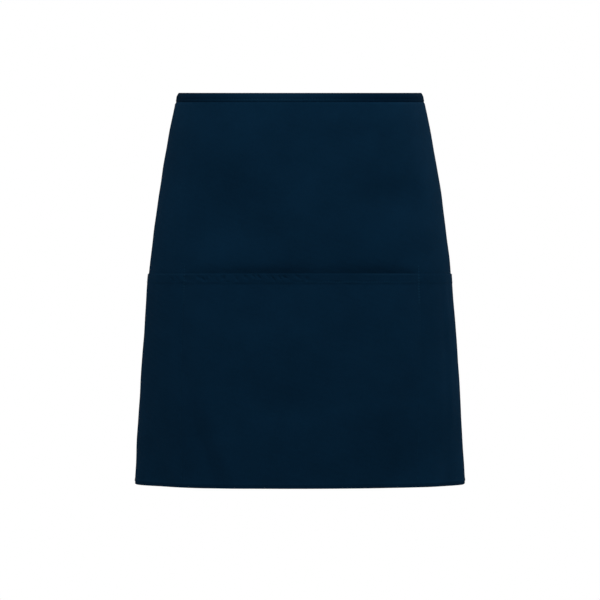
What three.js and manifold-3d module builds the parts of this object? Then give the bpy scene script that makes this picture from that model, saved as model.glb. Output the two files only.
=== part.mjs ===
// Half waist apron, as worn: a cloth panel wraps the front and sides of the wearer, a pouch pocket as
// wide as the panel covers its lower half, a folded waistband binds its top edge, and two ties carry
// the waistband on round the back to a plain knot.
// Millimetres, +Z up. The wearer faces -Y, with +X on their left. The origin is the middle of the
// waist opening, at half the height of the waistband.
import * as THREE from "three";
import { mergeVertices } from "three/addons/utils/BufferGeometryUtils.js";
import loadManifold from "manifold-3d";

// Cloth
const CLOTH = 1; // thickness of one layer
const GAP = 0.3; // clearance between neighbouring pieces
const NAVY = 0x0b2236;

// Panel
const PANEL_WIDTH = 600; // flat width, edge to edge, measured round the wearer
const APRON_DROP = 402.4; // from the top edge down to the hem, at the wearer's sides

// Waistband, ties and knot
const BAND_HEIGHT = 9.4;
const TIE_HEIGHT = 9;
const TIE_THICKNESS = 2;
const KNOT_WIDTH = 19;
const KNOT_HEIGHT = 13;
const KNOT_DEPTH = 11;
const KNOT_SAG = 3; // how far the knot hangs below the middle of the waistband
const TAIL_LENGTH = 62;
const TAIL_START = 3; // from the middle of the knot to the middle of each free end
const TAIL_SPREAD = 0.22; // how far each free end leans sideways, for each millimetre of drop

// Pocket
const POCKET_MOUTH = 186; // drop of its mouth
const POCKET_SEAM = 126; // from the middle round to each seam that divides it
const MOUTH_GAPE = 11; // how far the middle of the mouth stands open
const GAPE_START = 20; // from the mouth down to where the pocket starts to close
const GAPE_DEPTH = 212; // from the mouth down to where the pocket lies flat
const GAPE_FULLNESS = 3; // how squarely the mouth opens between its two seams
const MOUTH_DENT = 3; // how far the panel sinks in behind the mouth
const DENT_FALL = 4; // the dent is deepest this far below the mouth
const DENT_SPREAD = 12;
const FOOT = 2; // height of the turned edge that carries the pocket under the panel

// Level sections of the worn shape. The drop is below the top edge at the sides, the half width runs
// from the middle to a side, front and back are depths from the sides, and dip is how much lower the
// section lies at the front than at the sides. The back is level with the sides.
const SQUARENESS = 2.35; // 2 gives ellipses, and more gives flatter fronts and sides
const SECTIONS = [
  { drop: 0, halfWidth: 125.8, front: 98, back: 92, dip: 3.5 },
  { drop: 30, halfWidth: 132.4, front: 103, back: 98, dip: 2.8 },
  { drop: 70, halfWidth: 139.9, front: 108, back: 106, dip: 2 },
  { drop: 120, halfWidth: 147.6, front: 112.5, back: 115, dip: 1.2 },
  { drop: 186, halfWidth: 155.4, front: 116, back: 122, dip: 0.5 },
  { drop: 260, halfWidth: 160.3, front: 118.5, back: 123, dip: 0.7 },
  { drop: 330, halfWidth: 164.9, front: 121, back: 121, dip: 1 },
  { drop: 403, halfWidth: 168.9, front: 123, back: 119, dip: 1.4 },
];

// Soft folds. Each has its middle at a distance round from the middle of the front and a drop, a half
// length and a half width, a slant in degrees from straight down, and a height that is negative in a
// hollow.
const FOLDS = [
  { round: -75, drop: 130, length: 65, width: 48, slant: 62, height: -8 },
  { round: 106, drop: 106, length: 30, width: 22, slant: 86, height: -3.5 },
  { round: 2, drop: 145, length: 50, width: 26, slant: 5, height: 3.5 },
  { round: 0, drop: 295, length: 120, width: 95, slant: 90, height: 5.5 },
  { round: -12, drop: 318, length: 45, width: 22, slant: 90, height: -4.5 },
  { round: -4, drop: 374, length: 52, width: 30, slant: 90, height: 5 },
  { round: -82, drop: 325, length: 38, width: 45, slant: 60, height: 4 },
  { round: 58, drop: 326, length: 42, width: 26, slant: -62, height: 4 },
  { round: 107, drop: 390, length: 75, width: 45, slant: -62, height: -6 },
  { round: 122, drop: 305, length: 22, width: 26, slant: -20, height: -2.5 },
  { round: -160, drop: 420, length: 80, width: 32, slant: 5, height: -8 },
  { round: -91, drop: 378, length: 48, width: 11, slant: 18, height: -2.4 },
  { round: 279, drop: 402, length: 190, width: 15, slant: 0, height: 6 },
  { round: -281, drop: 402, length: 175, width: 15, slant: 0, height: 5 },
];

// Fineness of the mesh
const MIDDLE_COLUMNS = 22; // between the pocket's seams
const SIDE_COLUMNS = 14; // from each seam to the side edge
const PANEL_ROWS = 10; // above the pocket's mouth
const POCKET_ROWS = 12;
const ROUND_STEPS = 4; // along each rounded edge
const TIE_COLUMNS = 6;
const TAIL_ROWS = 5;
const KNOT_SIDES = 18;

const SIDE_EDGE = PANEL_WIDTH / 2;
const TOP_LEVEL = BAND_HEIGHT / 2;
const PANEL_TOP = CLOTH + GAP; // the panel's top edge, inside the fold of the waistband
const PANEL_BOTTOM = APRON_DROP - FOOT - GAP;

// The worn shape

const shapeByDrop = new THREE.CubicInterpolant(
  SECTIONS.map((row) => row.drop),
  SECTIONS.flatMap((row) => [row.halfWidth, row.front, row.back, row.dip]),
  4,
);

// Half of a level section, from the middle of the front round the left side to the middle of the back.
class HalfSection extends THREE.Curve {
  constructor(drop) {
    super();
    [this.halfWidth, this.front, this.back, this.dip] = shapeByDrop.evaluate(drop);
    this.length = this.getLength();
  }

  getPoint(share, point = new THREE.Vector3()) {
    const power = 2 / SQUARENESS;
    const forward = Math.cos(Math.PI * share);
    const depth = forward > 0 ? -this.front : this.back;
    return point.set(
      this.halfWidth * Math.sin(Math.PI * share) ** power,
      depth * Math.abs(forward) ** power,
      0,
    );
  }
}

const halfSections = new Map();

function halfSection(drop) {
  if (!halfSections.has(drop)) {
    halfSections.set(drop, new HalfSection(drop));
  }
  return halfSections.get(drop);
}

// A point of the cloth, at a distance round the wearer from the middle of the front (the left is
// positive), a drop below the top edge, and a distance out from the worn shape.
function place(round, drop, out) {
  const section = halfSection(drop);
  const share = Math.abs(round) / section.length;
  const point = section.getPointAt(share);
  const tangent = section.getTangentAt(share);
  const level = TOP_LEVEL - drop + (section.dip * Math.min(point.y, 0)) / section.front;
  const side = round < 0 ? -1 : 1;
  return new THREE.Vector3(side * (point.x + tangent.y * out), point.y - tangent.x * out, level);
}

// A point behind the wearer, at a distance across from the middle of the back.
function placeBehind(across, drop, out) {
  const round = halfSection(drop).length - Math.abs(across);
  return place(across < 0 ? -round : round, drop, out);
}

function foldHeight(round, drop) {
  let height = 0;
  for (const fold of FOLDS) {
    const slant = THREE.MathUtils.degToRad(fold.slant);
    const beside = round - fold.round;
    const below = drop - fold.drop;
    const along = below * Math.cos(slant) + beside * Math.sin(slant);
    const across = beside * Math.cos(slant) - below * Math.sin(slant);
    height += fold.height * Math.exp(-((along / fold.length) ** 2) - (across / fold.width) ** 2);
  }
  return height;
}

// The share of the mouth's opening at a distance round: 1 in the middle, 0 from the seams outwards.
function mouthShare(round) {
  return Math.max(0, 1 - Math.abs(round / POCKET_SEAM) ** GAPE_FULLNESS);
}

// How far the panel's outer face stands out from the worn shape. Its top is tucked into the waistband,
// so that the two outer faces are flush.
function panelOut(round, drop) {
  const free = THREE.MathUtils.smoothstep(drop, BAND_HEIGHT, 2 * BAND_HEIGHT);
  const dent = MOUTH_DENT * Math.exp(-(((drop - POCKET_MOUTH - DENT_FALL) / DENT_SPREAD) ** 2));
  const relief = foldHeight(round, drop) - dent * mouthShare(round);
  return free * relief - (1 - free) * (CLOTH + GAP);
}

// How far the pocket's inner face stands out from the worn shape.
function pocketOut(round, drop) {
  const closing = THREE.MathUtils.smoothstep(drop - POCKET_MOUTH, GAPE_START, GAPE_DEPTH);
  const gape = MOUTH_GAPE * mouthShare(round) * (1 - closing);
  return foldHeight(round, drop) + GAP + gape;
}

// Solids

function steps(from, to, count) {
  return Array.from({ length: count + 1 }, (_, i) => THREE.MathUtils.lerp(from, to, i / count));
}

// A half circle from one point to another of the same drop, bulging down or, if it is negative, up.
function halfRound(fromOut, toOut, drop, bulge) {
  const middle = (fromOut + toOut) / 2;
  const radius = (fromOut - toOut) / 2;
  return steps(0, Math.PI, ROUND_STEPS).map(
    (turn) =>
      new THREE.Vector2(
        middle + radius * Math.cos(turn),
        drop + bulge * Math.abs(radius) * Math.sin(turn),
      ),
  );
}

// A closed solid through one outline at each station. Outlines run anticlockwise as seen from the
// last station, and all have the same number of corners. Faces that run down an outline and up it again
// are split into triangles alike, so that layers of cloth that lie close stay clear of each other.
function sweep(stations, outlineAt, cornerAt) {
  const outlines = stations.map(outlineAt);
  const size = outlines[0].length;
  const corners = outlines.flatMap((outline, i) => outline.map((corner) => cornerAt(stations[i], corner)));
  const last = (stations.length - 1) * size;
  const index = [];
  for (let first = 0; first < last; first += size) {
    for (let j = 0; j < size; j += 1) {
      const here = first + j;
      const beside = first + ((j + 1) % size);
      if (outlines[0][(j + 1) % size].y > outlines[0][j].y) {
        index.push(here, beside, beside + size, here, beside + size, here + size);
      } else {
        index.push(here, beside, here + size, beside, beside + size, here + size);
      }
    }
  }
  for (const [a, b, c] of THREE.ShapeUtils.triangulateShape(outlines[0], [])) {
    index.push(a, c, b);
    index.push(last + a, last + b, last + c);
  }
  return new THREE.BufferGeometry().setFromPoints(corners).setIndex(index);
}

// A solid swept round the wearer, from outlines whose corners are (out, drop).
function sweepRound(stations, outlineAt) {
  return sweep(stations, outlineAt, (round, corner) => place(round, corner.y, corner.x));
}

const COLUMNS = [
  ...steps(-SIDE_EDGE, -POCKET_SEAM, SIDE_COLUMNS),
  ...steps(-POCKET_SEAM, POCKET_SEAM, MIDDLE_COLUMNS).slice(1, -1),
  ...steps(POCKET_SEAM, SIDE_EDGE, SIDE_COLUMNS),
];
const UPPER_DROPS = [PANEL_TOP, ...steps(BAND_HEIGHT, POCKET_MOUTH, PANEL_ROWS)];
const POCKET_DROPS = steps(POCKET_MOUTH, PANEL_BOTTOM, POCKET_ROWS);

function skirtPanel() {
  const drops = [...UPPER_DROPS, ...POCKET_DROPS.slice(1)];
  return sweepRound(COLUMNS, (round) => {
    const outer = drops.map((drop) => new THREE.Vector2(panelOut(round, drop), drop));
    const inner = drops.map((drop) => new THREE.Vector2(panelOut(round, drop) - CLOTH, drop));
    return [...outer, ...inner.reverse()];
  });
}

// The pocket's wall, whose foot turns under the panel's lower edge.
function pocketPanel() {
  return sweepRound(COLUMNS, (round) => {
    const outer = POCKET_DROPS.map((drop) => new THREE.Vector2(pocketOut(round, drop) + CLOTH, drop));
    const inner = POCKET_DROPS.map((drop) => new THREE.Vector2(pocketOut(round, drop), drop));
    const footOut = pocketOut(round, APRON_DROP);
    const footBack = footOut - GAP - CLOTH;
    const radius = (footOut + CLOTH - footBack) / 2;
    const footTop = APRON_DROP - FOOT;
    return [
      ...outer,
      ...halfRound(footOut + CLOTH, footBack, APRON_DROP - radius, 1),
      new THREE.Vector2(footBack, footTop),
      new THREE.Vector2(footOut, footTop),
      ...inner.reverse(),
    ];
  });
}

// A binding folded over the panel's top edge, open below.
function waistband() {
  const outerFace = 0;
  const slotOuter = outerFace - CLOTH;
  const slotInner = slotOuter - 2 * GAP - CLOTH;
  const innerFace = slotInner - CLOTH;
  const radius = (outerFace - innerFace) / 2;
  const outline = [
    new THREE.Vector2(outerFace, BAND_HEIGHT),
    new THREE.Vector2(slotOuter, BAND_HEIGHT),
    new THREE.Vector2(slotOuter, CLOTH),
    new THREE.Vector2(slotInner, CLOTH),
    new THREE.Vector2(slotInner, BAND_HEIGHT),
    new THREE.Vector2(innerFace, BAND_HEIGHT),
    ...halfRound(innerFace, outerFace, radius, -1),
  ];
  return sweepRound(COLUMNS, () => outline);
}

const BAND_MIDDLE = -1.5 * CLOTH - GAP; // how far the middle of the waistband's thickness stands out
const TIE_MIDDLE_DROP = BAND_HEIGHT / 2;
const KNOT_DROP = TIE_MIDDLE_DROP + KNOT_SAG;

// A flat folded strip from the end of the waistband round to the knot, on the left or the right.
function tie(side) {
  const outer = BAND_MIDDLE + TIE_THICKNESS / 2;
  const inner = BAND_MIDDLE - TIE_THICKNESS / 2;
  const rise = TIE_HEIGHT / 2 - TIE_THICKNESS / 2;
  const outline = [
    ...halfRound(outer, inner, TIE_MIDDLE_DROP + rise, 1),
    ...halfRound(inner, outer, TIE_MIDDLE_DROP - rise, -1),
  ];
  const shares = side < 0 ? steps(1, 0, TIE_COLUMNS) : steps(0, 1, TIE_COLUMNS);
  return sweep(
    shares,
    () => outline,
    (share, corner) => {
      const drop = corner.y + KNOT_SAG * share ** 2;
      const end = halfSection(drop).length - KNOT_WIDTH / 2 - GAP;
      return place(side * THREE.MathUtils.lerp(SIDE_EDGE + GAP, end, share), drop, corner.x);
    },
  );
}

// One of the knot's two free ends, which lies down the back, leaning to its own side.
function tail(side) {
  const outer = BAND_MIDDLE + TIE_THICKNESS / 2;
  const inner = BAND_MIDDLE - TIE_THICKNESS / 2;
  const outline = [
    new THREE.Vector2(outer, -TIE_HEIGHT / 2),
    new THREE.Vector2(outer, TIE_HEIGHT / 2),
    new THREE.Vector2(inner, TIE_HEIGHT / 2),
    new THREE.Vector2(inner, -TIE_HEIGHT / 2),
  ];
  const drops = steps(KNOT_DROP, KNOT_DROP + TAIL_LENGTH, TAIL_ROWS);
  return sweep(
    drops,
    () => outline,
    (drop, corner) => {
      const lean = side * (TAIL_START + TAIL_SPREAD * (drop - KNOT_DROP));
      return placeBehind(lean + corner.y, drop, corner.x);
    },
  );
}

function tieKnot() {
  const middle = placeBehind(0, KNOT_DROP, BAND_MIDDLE);
  const body = new THREE.SphereGeometry(0.5, KNOT_SIDES, KNOT_SIDES / 2);
  body.scale(KNOT_WIDTH, KNOT_DEPTH, KNOT_HEIGHT);
  body.translate(middle.x, middle.y, middle.z);
  return union([body, tail(1), tail(-1)]);
}

const wasm = await loadManifold();
wasm.setup();

// Several closed solids joined into one.
function union(geometries) {
  const solids = geometries.map((geometry) => {
    geometry.deleteAttribute("normal");
    geometry.deleteAttribute("uv");
    const merged = mergeVertices(geometry);
    return new wasm.Manifold(
      new wasm.Mesh({
        numProp: 3,
        vertProperties: merged.attributes.position.array,
        triVerts: new Uint32Array(merged.index.array),
      }),
    );
  });
  const mesh = solids.reduce((joined, solid) => joined.add(solid)).getMesh();
  const geometry = new THREE.BufferGeometry();
  geometry.setAttribute("position", new THREE.BufferAttribute(mesh.vertProperties, mesh.numProp));
  return geometry.setIndex(new THREE.BufferAttribute(mesh.triVerts, 1));
}

function piece(name, geometry) {
  const material = new THREE.MeshStandardMaterial({ color: NAVY, roughness: 0.85, metalness: 0 });
  const mesh = new THREE.Mesh(geometry, material);
  mesh.name = name;
  return mesh;
}

const apron = new THREE.Group();
apron.add(piece("skirt_panel", skirtPanel()));
apron.add(piece("pocket_panel", pocketPanel()));
apron.add(piece("waistband", waistband()));
apron.add(piece("tie_left", tie(1)));
apron.add(piece("tie_right", tie(-1)));
apron.add(piece("tie_knot", tieKnot()));

export default apron;
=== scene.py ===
# A half waist apron as worn, in navy twill: a panel, a pouch pocket as wide as the panel, a bound
# waistband, and ties that meet in a knot behind, with every row of stitches. Metres, +Z up. The wearer
# faces -Y, left and right are the wearer's, and the origin is the middle of the waist opening, at half the
# height of the waistband.
import math
from collections import namedtuple

import bmesh
import bpy
import numpy as np
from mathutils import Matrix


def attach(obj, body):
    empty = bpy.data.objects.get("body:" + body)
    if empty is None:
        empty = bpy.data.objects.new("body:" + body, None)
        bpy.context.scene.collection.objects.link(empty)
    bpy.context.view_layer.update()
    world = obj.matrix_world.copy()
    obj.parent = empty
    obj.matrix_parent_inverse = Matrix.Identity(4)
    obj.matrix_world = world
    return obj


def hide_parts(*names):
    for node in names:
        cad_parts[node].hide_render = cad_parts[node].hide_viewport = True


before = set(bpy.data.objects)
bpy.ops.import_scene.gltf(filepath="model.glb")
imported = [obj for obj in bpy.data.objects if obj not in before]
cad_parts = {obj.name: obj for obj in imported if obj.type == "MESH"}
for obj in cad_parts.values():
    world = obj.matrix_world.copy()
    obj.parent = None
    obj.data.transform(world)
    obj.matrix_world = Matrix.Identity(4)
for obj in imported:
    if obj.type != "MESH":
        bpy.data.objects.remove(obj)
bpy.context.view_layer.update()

# Cloth
CLOTH = 0.0007  # thickness of one layer
GAP = 0.0003  # between layers
SIDE_EDGE = 0.3  # half of the flat width
APRON_DROP = 0.4024  # from the top edge down to the hem, at the wearer's sides
SIDE_HEM = 0.009
HEM_SLOPE = 0.001  # half of the stretch over which a side hem grows thicker
HEM_FULL = 0.004  # below the waistband, where the side hems reach their thickness

# Waistband
BAND_HEIGHT = 0.0094
BAND_LEG = 0.0006  # thickness of the folded binding
BAND_FOLD = 0.0014  # between the middles of its two legs
BAND_OUTER = 0.0001  # how far it stands out from the panel
BAND_LEAN = 0.001  # how far its top leans in
BAND_TURN = 0.005  # the lean starts this far down
BAND_PUFF = 0.0002
BAND_GROOVE = 0.0002
BAND_GROOVE_WIDTH = 0.0007
BAND_EDGE = 0.0093  # the drop of its lower edge
BAND_ROLL = 0.0005  # how far that edge is rolled in
BAND_ROLLED = 0.0012
BAND_STITCHES = 0.0067
PANEL_TOP = 0.0016  # the drop of the panel's top edge, inside the fold
PANEL_FREE = 0.0025  # the panel hangs free from this far below the binding

# Ties
TIE_HEIGHT = 0.009
TIE_THICKNESS = 0.002
TIE_FULLER = 0.15  # how much thicker a tie is where it leaves the waistband
TIE_EVEN = 0.25  # the share of its length where that has gone
TIE_TUCK = 0.001  # how far it goes into the knot
PINCH_START = 0.45  # the share of its length where the knot starts to pinch it
PINCH_NARROWS = 0.38
PINCH_THICKENS = 0.45
PINCH_CREASE = 0.0005

# Knot, with angles in radians
KNOT_WIDTH = 0.019
KNOT_SAG = 0.003
WRAP_SHIFT = 0.0022  # how far the wrap's turn moves aside
WRAP_DEPTH = 0.0042
WRAP_RISE = 0.0054
WRAP_WIDTH = 0.0105
WRAP_THICKNESS = 0.0022
WRAP_SHORT = 0.15  # how far each end stops short of a whole turn
WRAP_LEAD = 0.5  # how far the turn is ahead of the shift
CORE_BULGE = 0.0006
CORE_BEND = 3
CORE_RISE = 0.0004
CORE_HEIGHT = 0.0062
CORE_THICKNESS = 0.0034

# Free ends of the ties, with angles in radians
TAIL_LENGTH = 0.062
TAIL_THINNER = 0.85  # as a share of a tie's thickness
TAIL_BELOW = 0.002  # they start this far below the middle of the knot
TAIL_START = 0.003
TAIL_SPREAD = 0.22
TAIL_SWAY = 0.0012
TAIL_SWAY_BEND = 4.2
TAIL_OUT = 0.0012
TAIL_OVER = 0.0008  # how far the left end lies over the middle, and the right end under it
TAIL_WAVE = 0.0012
TAIL_WAVE_BEND = 5
TAIL_WAVE_START = 0.8
TAIL_TWIST = 0.3
TAIL_TWIST_BEND = 3

# Pocket
POCKET_MOUTH = 0.1863  # the drop of its edge
POCKET_SEAM = 0.1258  # round from the middle of the apron
OFF_CENTRE = 0.0018  # the apron is worn this far round to the left
MOUTH_GAPE = 0.011
GAPE_START = 0.02  # below the mouth, where the gape starts to close
GAPE_DEPTH = 0.212
GAPE_FULLNESS = 3
DENT_FALL = 0.003
DENT_SPREAD = 0.009
MOUTH_EDGE = 0.0005  # radius of the mouth's folded edge
EDGE_TURNS = [80, 55, 25]  # degrees round that fold, from the outer face up
MOUTH_HEM = 0.0102
MOUTH_STITCHES = 0.0084
MOUTH_GROOVE = 0.0003  # how far those stitches pull the cloth in
MOUTH_GROOVE_WIDTH = 0.0009
HEM_RISE = 0.0004
HEM_STEP = 0.0006  # half of the stretch over which the hem grows thin
HEM_CURL = 0.0014  # how far the mouth's edge curls out
SEAM_START = 0.0085  # the seams start this far above the mouth
SEAM_TUCK = 0.0003
SEAM_TUCK_WIDTH = 0.0016
FOOT = 0.002

# What is left of some of these from the seams outwards, where the mouth lies closed, as shares
SIDE_GAP = 0.2
SIDE_CURL = 0.1
SIDE_GROOVE = 0.2
SIDE_RISE = 0.3
SIDE_CRIMPS = 0.6

# Bottom hem
HEM_SWELL = 0.0003
HEM_ROLL = 0.0004
HEM_ROLLED = 0.0016

# Level sections of the worn shape: the drop below the top edge at the sides, the half width, the depths
# in front of the sides and behind them, and how much lower the front lies than the sides.
SQUARENESS = 2.35
Section = namedtuple("Section", "drop half_width front back dip")
SECTIONS = [
    Section(0.000, 0.1258, 0.0980, 0.092, 0.0035),
    Section(0.030, 0.1324, 0.1030, 0.098, 0.0028),
    Section(0.070, 0.1399, 0.1080, 0.106, 0.0020),
    Section(0.120, 0.1476, 0.1125, 0.115, 0.0012),
    Section(0.186, 0.1554, 0.1160, 0.122, 0.0005),
    Section(0.260, 0.1605, 0.1185, 0.123, 0.0007),
    Section(0.330, 0.1653, 0.1210, 0.121, 0.0010),
    Section(0.403, 0.1692, 0.1230, 0.119, 0.0014),
]

# Soft folds: the middle's distance round from the middle of the front and its drop, the half length and
# half width, the slant in degrees from straight down, and the height, negative in a hollow.
Fold = namedtuple("Fold", "around drop length width slant height")
FOLDS = [
    Fold(-0.075, 0.130, 0.065, 0.048, 62, -0.0080),
    Fold(0.108, 0.110, 0.038, 0.022, 86, -0.0046),
    Fold(0.002, 0.145, 0.050, 0.026, 5, 0.0035),
    Fold(0.120, 0.066, 0.030, 0.026, 0, 0.0012),
    Fold(0.045, 0.028, 0.050, 0.015, 90, 0.0018),
    Fold(0.000, 0.295, 0.120, 0.095, 90, 0.0055),
    Fold(-0.012, 0.318, 0.045, 0.022, 90, -0.0045),
    Fold(-0.004, 0.374, 0.052, 0.030, 90, 0.0050),
    Fold(-0.082, 0.318, 0.038, 0.045, 60, 0.0056),
    Fold(-0.088, 0.412, 0.085, 0.034, 0, 0.0056),
    Fold(0.058, 0.326, 0.042, 0.026, -62, 0.0040),
    Fold(0.107, 0.384, 0.075, 0.045, -62, -0.0070),
    Fold(0.116, 0.305, 0.022, 0.026, -20, -0.0034),
    Fold(-0.160, 0.420, 0.080, 0.032, 5, -0.0095),
    Fold(0.172, 0.425, 0.060, 0.026, -5, -0.0060),
    Fold(-0.091, 0.378, 0.048, 0.011, 18, -0.0024),
    Fold(-0.072, 0.378, 0.045, 0.013, 18, 0.0020),
    Fold(0.098, 0.392, 0.024, 0.012, -15, -0.0018),
    Fold(0.124, 0.392, 0.024, 0.009, -12, -0.0012),
    Fold(0.190, 0.198, 0.060, 0.024, 90, -0.0008),
    Fold(-0.175, 0.034, 0.040, 0.028, 90, 0.0005),
    Fold(0.166, 0.265, 0.080, 0.005, 3, -0.0006),
    Fold(0.178, 0.270, 0.090, 0.005, 2, 0.0007),
    Fold(0.279, 0.402, 0.190, 0.015, 0, 0.0060),
    Fold(-0.281, 0.402, 0.175, 0.015, 0, 0.0050),
]

# Where the panel sinks in behind the pocket's mouth.
Hollow = namedtuple("Hollow", "around reach depth")
MOUTH_HOLLOWS = [
    Hollow(0.0, 0.090, 0.0004),
    Hollow(0.092, 0.040, 0.0022),
    Hollow(-0.052, 0.050, 0.0022),
]

# Gentle waves in all directions. Those of the groove say how hard the stitches at the mouth pull.
Waves = namedtuple("Waves", "height length seed")
WAVE_COUNT = 9
WAVE_LENGTHS = (0.75, 1.4)  # a wave's length is drawn from this range, as a share
CLOTH_WAVES = [Waves(0.00030, 0.085, 3), Waves(0.00010, 0.034, 8)]
GROOVE_WAVES = Waves(0.9, 0.022, 27)
GROOVE_MEAN = 0.5
GROOVE_MOST = 1.4

# Short waves along a row of stitches, which die away over the reach on both sides.
Puckers = namedtuple("Puckers", "height spacing reach lean seed")
PUCKER_COUNT = 4
PUCKER_SPACINGS = (0.75, 1.6)  # the ranges that shares of the spacing and of the lean are drawn from
PUCKER_LEANS = (0.4, 1.4)
SIDE_PUCKERS = Puckers(0.0002, 0.013, 0.005, 0.3, 5)
BAND_PUCKERS = Puckers(0.0001, 0.0085, 0.005, 0.3, 31)
BAND_GATHERS = Puckers(0.0002, 0.012, 0.012, 0.2, 21)
SEAM_PUCKERS = Puckers(0.00014, 0.012, 0.006, 0.4, 17)
MOUTH_PUCKERS = Puckers(0.00006, 0.0066, 0.0045, -0.6, 41)
MOUTH_PUCKERS_DROP = 0.6 * MOUTH_STITCHES

# Small dents that the stitches pull into the hem at the mouth, from the right seam to past the middle: the
# middle of each round and below the mouth, its lean from straight down, and its half width, half length
# and depth. Their spacings and sizes are drawn from ranges.
Crimp = namedtuple("Crimp", "around below lean width length depth")
CRIMPS_START = -0.139
CRIMPS_END = 0.012
CRIMP_SEED = 41
CRIMP_PLACES = (0.22, 0.6)  # as shares of the hem
CRIMP_LEANS = (-0.2, 1.0)
CRIMP_WIDTHS = (0.0009, 0.0019)
CRIMP_LENGTHS = (0.0015, 0.0029)
CRIMP_DEPTHS = (0.0003, 0.0011)
CRIMP_SPACINGS = (0.0035, 0.0105)

# Stitches, and the rings of one stitch: the share of its length, and the lift from the cloth and the width
# in radii of the thread.
STITCH_PITCH = 0.0028
STITCH_SHARE = 0.68
THREAD_RADIUS = 0.00024
THREAD_SIDES = 6
StitchRing = namedtuple("StitchRing", "share lift width")
STITCH_RINGS = [
    StitchRing(0, -1.2, 0.65),
    StitchRing(0.18, 0.35, 1),
    StitchRing(0.5, 0.75, 1.05),
    StitchRing(0.82, 0.35, 1),
    StitchRing(1, -1.2, 0.65),
]
TACK_LENGTH = 0.032  # the second row that strengthens the top of each seam
TACK_ASIDE = 0.0019
ROW_INSET = 0.001  # from the edge beside a row of stitches
ROW_END = 0.002  # from the bottom edge
ROW_ABOVE_MOUTH = 0.0004
ROW_GAP = 0.0006  # from the edge or the row above it

# How pale worn edges and stitches are, and how pale the painted highlight along the pocket's mouth and the
# painted light on the middle of the waistband are, from 0 to 1. A stretch has four places, where it
# starts, is full, fades and ends.
SIDE_RUB = 0.5
SIDE_RUB_REACH = 0.0015
# A painted highlight along the fold at the pocket's mouth, paler in stretches where that edge catches the
# light.
MOUTH_HIGHLIGHT = 0.5
MOUTH_HIGHLIGHT_STRETCHES = [(0.05, 0.08, 0.115, 0.13), (-0.18, -0.16, -0.11, -0.085)]
FOLD_PALING_REACH = 0.0008  # at the mouth, for its painted highlight, and on top of the waistband
BAND_TOP_RUB = 0.4
# The middle of the waistband is painted paler and its ends are left darker: painted light.
BAND_PAINTED_LIGHT = 0.8
BAND_PAINTED_LIGHT_MIDDLE = -0.022
BAND_PAINTED_LIGHT_REACH = 0.078
MOUTH_STITCH_RUB = 0.2
MOUTH_STITCH_RUB_MORE = 0.4
MOUTH_STITCH_STRETCH = (0, 0.03, 0.11, 0.125)
RIGHT_SEAM_RUB = 0.5
LEFT_SEAM_RUB = 0.75
LOWER_SEAM_RUB = 0.25

# Fineness of the cloth: numbers of columns and steps, widths of columns, heights of rows, and the
# stretches that have rows of their own.
PANEL_COLUMNS = 320
BAND_COLUMNS = 400
BAND_STEPS = 20
FOLD_STEPS = 9
FOOT_STEPS = 8
TIE_STEPS = 40
ROUND_EDGE_STEPS = 7
WRAP_STEPS = 48
CORE_STEPS = 24
TAIL_STEPS = 40
POCKET_COLUMN = 0.0016
CRIMP_COLUMN = 0.0008
CRIMP_MARGIN = 0.004
TOP_ROWS = 0.02
MOUTH_ROWS = 0.02  # above and below the mouth on the panel
CURL_ROWS = 0.003  # below the hem at the mouth
GAPE_ROWS = 0.03  # below the mouth on the pocket
HEM_ROWS = 0.008
HEM_ROW = 0.0008
LINE_STEP = 0.001
SHARP_ANGLE = 55  # degrees

# Colours, each with its paler colour for worn places and painted light, and the range from the darkest to
# the palest tone
TWILL_COLOURS = [(0.0020, 0.0129, 0.0298), (0.0040, 0.0200, 0.0420)]
# The binding's paler colour is painted light on the middle of the waistband, and also the worn top of its
# fold.
BINDING_COLOURS = [(0.0007, 0.0062, 0.0155), (0.0024, 0.0143, 0.0316)]
THREAD_COLOURS = [(0.0019, 0.0125, 0.0290), (0.0080, 0.0400, 0.0770)]
SHEEN_TINT = (0.15, 0.6, 1.0)
CLOTH_TONES = (0.82, 1.18)
THREAD_TONES = (0.8, 1.2)
FLOOR_TONES = (0.62, 0.65)
WHITE = (1, 1, 1)

# Weave and thread: lengths and scales of their patterns, and shares of these in the height, the tone, the
# paling for worn places and painted light, and the roughness
RIB_LENGTH = 0.0009
RIB_SLANT = 0.8
WEFT_LENGTH = 0.00046
WARP_LENGTH = 0.00052
SLUB_SCALE = 420.0
BLOTCH_SCALE = 16.0
FIBRE_SCALE = 900.0
SLUB_HEIGHT = 0.8
THREAD_HEIGHT = 0.4
SLUB_TONE = 0.4
RIB_TONE = 0.1
TONE_START = 0.35
TONE_END = 1.05
PALING_LEAST = 0.75
SLUB_PALING = 0.5
CLOTH_ROUGHNESS = 0.72
SLUB_ROUGHNESS = 0.2
THREAD_ROUGHNESS = 0.5
FIBRE_ROUGHNESS = 0.25
WEAVE_DEPTH = 0.0002
DULL = 0.003  # specular level of cloth and thread

# Stage and lights: degrees round from the front towards +X and up, distance and power
FLOOR_BELOW = 0.6
FLOOR_RADIUS = 3.0
FLOOR_SIDES = 96
FLOOR_GRAIN = 3.0
SOFT_LIGHT = 0.50
LIGHT_SPREAD = 0.65  # a light's size as a share of its distance
AIM = np.array([0, 0, -0.2])
Light = namedtuple("Light", "name azimuth elevation distance energy")
LIGHTS = [
    Light("key", 5, 55, 2.0, 34),
    Light("left", 118, 36, 1.3, 12.2),
    Light("right", -112, 36, 1.2, 5.2),
]

# Photograph
PHOTO_PIXELS = 600
PIXEL_SIZE = 0.0010296
TOP_PIXEL = 92.3
CAMERA_DISTANCE = 6.0
SENSOR = 36

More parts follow.
